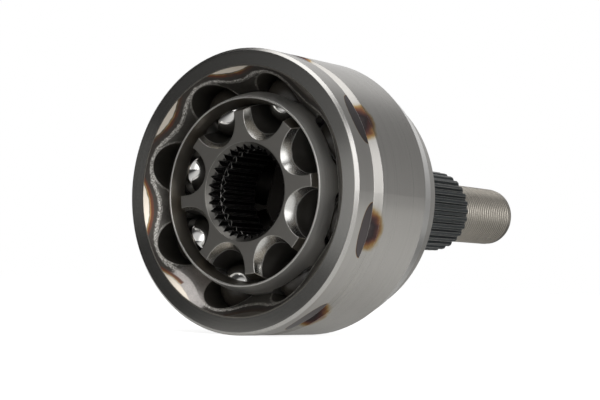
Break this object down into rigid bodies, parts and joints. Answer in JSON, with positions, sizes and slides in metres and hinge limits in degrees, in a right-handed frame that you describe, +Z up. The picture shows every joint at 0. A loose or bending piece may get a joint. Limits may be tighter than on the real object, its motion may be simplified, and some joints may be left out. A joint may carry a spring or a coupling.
{
  "type": "cv joint",
  "caption": "Fixed ball-type constant-velocity joint for a drive shaft: a grooved bell with a splined, threaded stub, and inside it a cage, a splined inner race and the balls between them.",
  "frame": {"origin": "the joint centre, where the drive shaft axis and the stub axis meet, in the middle of the inner race", "axes": "+Y along the axis, from the open mouth of the bell towards the threaded end of the stub; +Z up; the mouth faces -Y"},
  "size_m": [0.094, 0.1652, 0.094],
  "materials": {
    "bell_steel": "turned and forged steel, satin, with heat tints",
    "race_steel": "machined steel, satin",
    "cage_steel": "hardened steel, dark satin",
    "ball_steel": "polished bearing steel"
  },
  "bodies": {
    "housing": {"outer_race": "bell_steel"},
    "inner_race": {"inner_race": "race_steel"},
    "cage": {"cage": "cage_steel"},
    "ball_1": {"ball_1": "ball_steel"},
    "ball_2": {"ball_2": "ball_steel"},
    "ball_3": {"ball_3": "ball_steel"},
    "ball_4": {"ball_4": "ball_steel"},
    "ball_5": {"ball_5": "ball_steel"},
    "ball_6": {"ball_6": "ball_steel"},
    "ball_7": {"ball_7": "ball_steel"},
    "ball_8": {"ball_8": "ball_steel"}
  },
  "joints": [
    {"name": "bend", "type": "hinge", "parent": "housing", "child": "inner_race", "pos_m": [0, 0, 0], "axis": [-0.1305, 0, 0.9914], "range_deg": [-45, 45]},
    {"name": "cage_tilt", "type": "hinge", "parent": "housing", "child": "cage", "pos_m": [0, 0, 0], "axis": [-0.1305, 0, 0.9914], "range_deg": [-22.6, 22.6]},
    {"name": "ball_1_travel", "type": "hinge", "parent": "housing", "child": "ball_1", "pos_m": [0, -0.003, 0], "axis": [-0.5, 0, 0.866], "range_deg": [-21, 21]},
    {"name": "ball_2_travel", "type": "hinge", "parent": "housing", "child": "ball_2", "pos_m": [0, -0.003, 0], "axis": [-0.9659, 0, 0.2588], "range_deg": [-9, 9]},
    {"name": "ball_3_travel", "type": "hinge", "parent": "housing", "child": "ball_3", "pos_m": [0, -0.003, 0], "axis": [-0.866, 0, -0.5], "range_deg": [-9, 9]},
    {"name": "ball_4_travel", "type": "hinge", "parent": "housing", "child": "ball_4", "pos_m": [0, -0.003, 0], "axis": [-0.2588, 0, -0.9659], "range_deg": [-21, 21]},
    {"name": "ball_5_travel", "type": "hinge", "parent": "housing", "child": "ball_5", "pos_m": [0, -0.003, 0], "axis": [0.5, 0, -0.866], "range_deg": [-21, 21]},
    {"name": "ball_6_travel", "type": "hinge", "parent": "housing", "child": "ball_6", "pos_m": [0, -0.003, 0], "axis": [0.9659, 0, -0.2588], "range_deg": [-9, 9]},
    {"name": "ball_7_travel", "type": "hinge", "parent": "housing", "child": "ball_7", "pos_m": [0, -0.003, 0], "axis": [0.866, 0, 0.5], "range_deg": [-9, 9]},
    {"name": "ball_8_travel", "type": "hinge", "parent": "housing", "child": "ball_8", "pos_m": [0, -0.003, 0], "axis": [0.2588, 0, 0.9659], "range_deg": [-21, 21]}
  ],
  "couplings": [
    {"joint": "cage_tilt", "follows": "bend", "ratio": 0.5},
    {"joint": "ball_1_travel", "follows": "bend", "ratio": 0.46453},
    {"joint": "ball_2_travel", "follows": "bend", "ratio": 0.19792},
    {"joint": "ball_3_travel", "follows": "bend", "ratio": -0.19792},
    {"joint": "ball_4_travel", "follows": "bend", "ratio": -0.46453},
    {"joint": "ball_5_travel", "follows": "bend", "ratio": -0.46453},
    {"joint": "ball_6_travel", "follows": "bend", "ratio": -0.19792},
    {"joint": "ball_7_travel", "follows": "bend", "ratio": 0.19792},
    {"joint": "ball_8_travel", "follows": "bend", "ratio": 0.46453}
  ]
}
